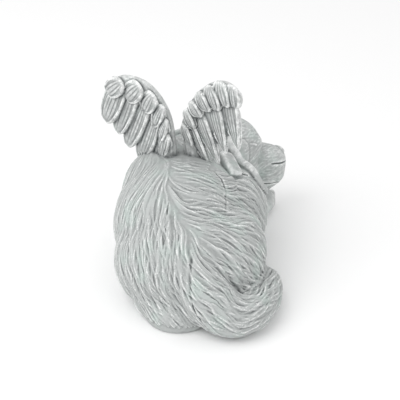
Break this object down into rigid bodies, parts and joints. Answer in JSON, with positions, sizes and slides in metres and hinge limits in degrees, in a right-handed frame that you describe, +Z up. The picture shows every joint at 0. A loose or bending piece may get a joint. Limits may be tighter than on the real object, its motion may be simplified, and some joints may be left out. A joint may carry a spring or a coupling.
{
  "type": "pet memorial statue",
  "caption": "Cast stone memorial statue of a sleeping long-haired puppy with upright angel wings, its head and tail turned to its right.",
  "frame": {"origin": "middle of the footprint's box on the flat underside", "axes": "+Z up, the dog faces -Y and its right side is at -X"},
  "size_m": [0.1712, 0.2596, 0.1914],
  "materials": {
    "cast_stone": "matt light grey cast stone, white dry brush on raised hair, dark wash in the grooves"
  },
  "bodies": {
    "root": {"winged_dog": "cast_stone"}
  },
  "joints": []
}
